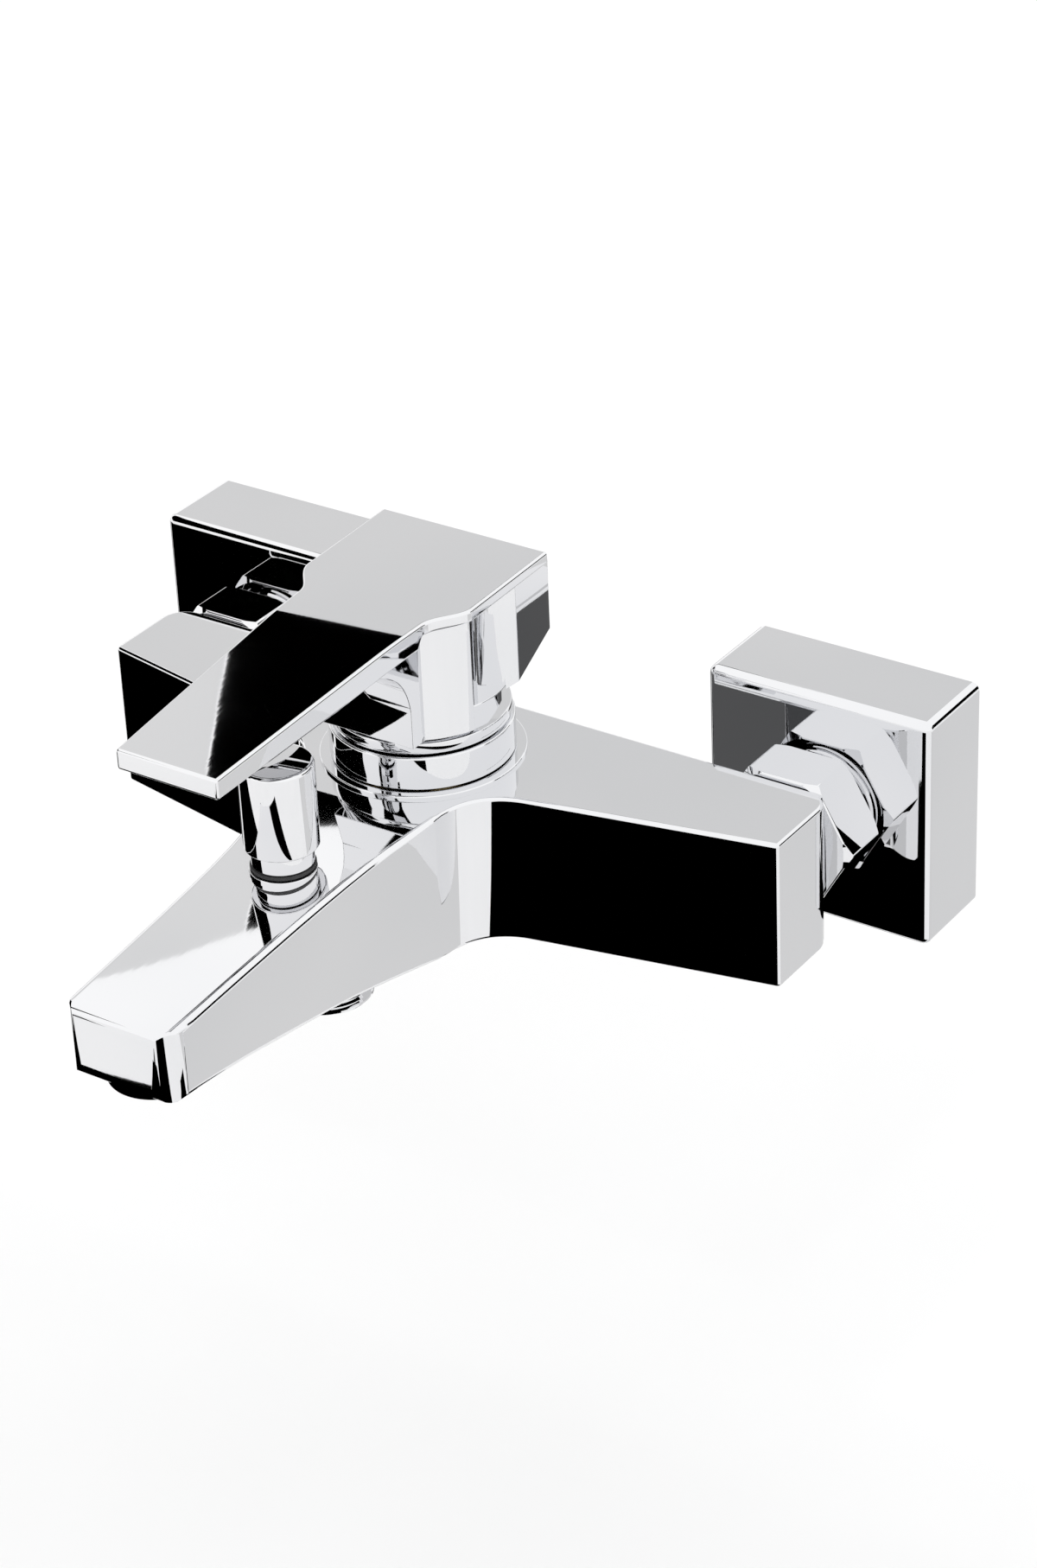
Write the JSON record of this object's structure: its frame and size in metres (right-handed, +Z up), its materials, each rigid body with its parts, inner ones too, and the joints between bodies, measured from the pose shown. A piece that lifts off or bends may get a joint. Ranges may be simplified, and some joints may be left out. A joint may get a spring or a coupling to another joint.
{
  "type": "wall mounted bath faucet",
  "caption": "Square-lined wall bath mixer: tee body with drooping spout, single flat lever on top, pull-up shower diverter, square wall covers and union nuts.",
  "frame": {"origin": "in the wall plane, midway between the axes of the two inlet union nuts", "axes": "+Z up, -Y out of the wall towards the user, +X to the user's right"},
  "size_m": [0.2054, 0.1886, 0.0867],
  "materials": {
    "chrome": "mirror-polished chrome plate over cast brass or zinc",
    "brass": "machined, slightly dull",
    "steel": "turned stainless steel",
    "white_plastic": "moulded acetal",
    "grey_plastic": "moulded glass-filled plastic",
    "ceramic": "lapped ceramic",
    "rubber": "black moulded rubber",
    "indicator": "glossy moulded plug"
  },
  "bodies": {
    "faucet_body": {"body_casting": "chrome", "inlet_tailpiece_left": "brass", "inlet_tailpiece_right": "brass", "union_gasket_left": "rubber", "union_gasket_right": "rubber", "wall_union_left": "chrome", "wall_union_right": "chrome", "escutcheon_left": "chrome", "escutcheon_right": "chrome", "cartridge_housing": "white_plastic", "cartridge_base": "white_plastic", "port_seal_hot": "rubber", "port_seal_cold": "rubber", "port_seal_mixed": "rubber", "fixed_ceramic_disc": "ceramic", "cartridge_retaining_nut": "brass", "cover_ring": "chrome", "dome_cap": "chrome", "diverter_bonnet": "chrome", "diverter_foot_ring": "rubber", "diverter_spring": "steel", "shower_outlet_nipple": "chrome", "aerator_housing": "chrome", "aerator_insert": "white_plastic", "aerator_washer": "rubber"},
    "cartridge_swivel": {"cartridge_rotor": "grey_plastic", "stem_pin": "steel"},
    "lever": {"handle_lever": "chrome", "cartridge_stem": "steel", "handle_set_screw": "steel", "indicator_plug": "indicator"},
    "disc_slider": {"moving_ceramic_disc": "ceramic", "disc_carrier": "grey_plastic"},
    "diverter": {"diverter_knob": "chrome", "diverter_stem": "steel", "diverter_valve_disc": "brass", "diverter_washer": "rubber"},
    "nut_left": {"union_nut_left": "chrome"},
    "nut_right": {"union_nut_right": "chrome"}
  },
  "joints": [
    {"name": "handle_swivel", "type": "hinge", "parent": "faucet_body", "child": "cartridge_swivel", "pos_m": [0, -0.0638, 0.014], "axis": [0, 0, 1], "range_deg": [-50, 50]},
    {"name": "handle_tilt", "type": "hinge", "parent": "cartridge_swivel", "child": "lever", "pos_m": [0, -0.0638, 0.014], "axis": [-1, 0, 0], "range_deg": [0, 25]},
    {"name": "disc_slide", "type": "slide", "parent": "cartridge_swivel", "child": "disc_slider", "axis": [0, -1, 0], "range_m": [0, 0.0035]},
    {"name": "diverter_lift", "type": "slide", "parent": "faucet_body", "child": "diverter", "axis": [0, 0, 1], "range_m": [0, 0.006], "stiffness_N_per_m": 80, "springref_m": -0.004, "deforming": ["diverter_spring"]},
    {"name": "union_nut_left_spin", "type": "hinge", "parent": "faucet_body", "child": "nut_left", "pos_m": [-0.075, -0.0374, 0], "axis": [0, 1, 0], "continuous": true},
    {"name": "union_nut_right_spin", "type": "hinge", "parent": "faucet_body", "child": "nut_right", "pos_m": [0.075, -0.0374, 0], "axis": [0, 1, 0], "continuous": true}
  ],
  "couplings": [
    {"joint": "disc_slide", "follows": "handle_tilt", "m_per_rad": 0.00775}
  ]
}
